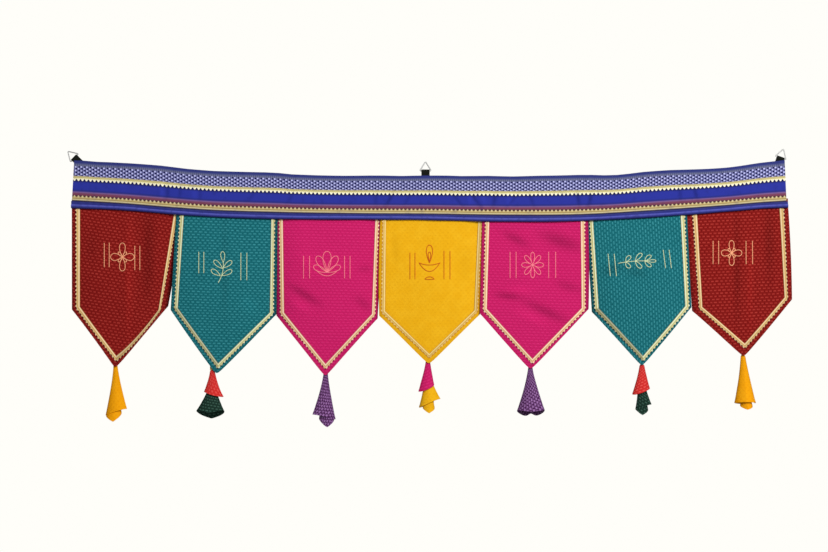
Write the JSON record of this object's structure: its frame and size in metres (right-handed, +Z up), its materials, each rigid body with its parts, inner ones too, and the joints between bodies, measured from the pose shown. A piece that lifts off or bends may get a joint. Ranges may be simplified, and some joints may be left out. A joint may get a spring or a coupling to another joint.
{
  "type": "door toran",
  "caption": "Door toran: a sagging woven heading with pointed cloth panels edged in gold lace and rolled cloth tassels, hung from wire rings on ribbon tabs over a doorway.",
  "frame": {"origin": "the point inside the top of the middle ring that bears on its nail", "axes": "+Z up, +X along the heading to the viewer's right, and the front faces -Y"},
  "size_m": [0.9776, 0.0368, 0.3737],
  "materials": {
    "border_cloth": "woven border with gold stripes",
    "satin_piping": "satin",
    "red_cloth": "dashed weave",
    "teal_cloth": "dashed weave",
    "magenta_cloth": "fine ribbed weave",
    "yellow_cloth": "plain weave",
    "scarlet_cloth": "dashed weave",
    "green_cloth": "dashed weave",
    "purple_cloth": "dashed weave",
    "gold_lace": "metallic thread",
    "ring_wire": "polished",
    "black_ribbon": "ribbed ribbon"
  },
  "bodies": {
    "root": {"heading_band": "border_cloth", "band_piping": "satin_piping", "panel_1": "red_cloth", "panel_lace_1": "gold_lace", "panel_2": "teal_cloth", "panel_lace_2": "gold_lace", "panel_3": "magenta_cloth", "panel_lace_3": "gold_lace", "panel_4": "yellow_cloth", "panel_lace_4": "gold_lace", "panel_5": "magenta_cloth", "panel_lace_5": "gold_lace", "panel_6": "teal_cloth", "panel_lace_6": "gold_lace", "panel_7": "red_cloth", "panel_lace_7": "gold_lace", "tassel_1": "yellow_cloth", "tassel_cap_2": "scarlet_cloth", "tassel_skirt_2": "green_cloth", "tassel_3": "purple_cloth", "tassel_cap_4": "magenta_cloth", "tassel_skirt_4": "yellow_cloth", "tassel_5": "purple_cloth", "tassel_cap_6": "scarlet_cloth", "tassel_skirt_6": "green_cloth", "tassel_7": "yellow_cloth", "hanger_ring_left": "ring_wire", "hanger_tab_left": "black_ribbon", "hanger_ring_middle": "ring_wire", "hanger_tab_middle": "black_ribbon", "hanger_ring_right": "ring_wire", "hanger_tab_right": "black_ribbon"}
  },
  "joints": []
}
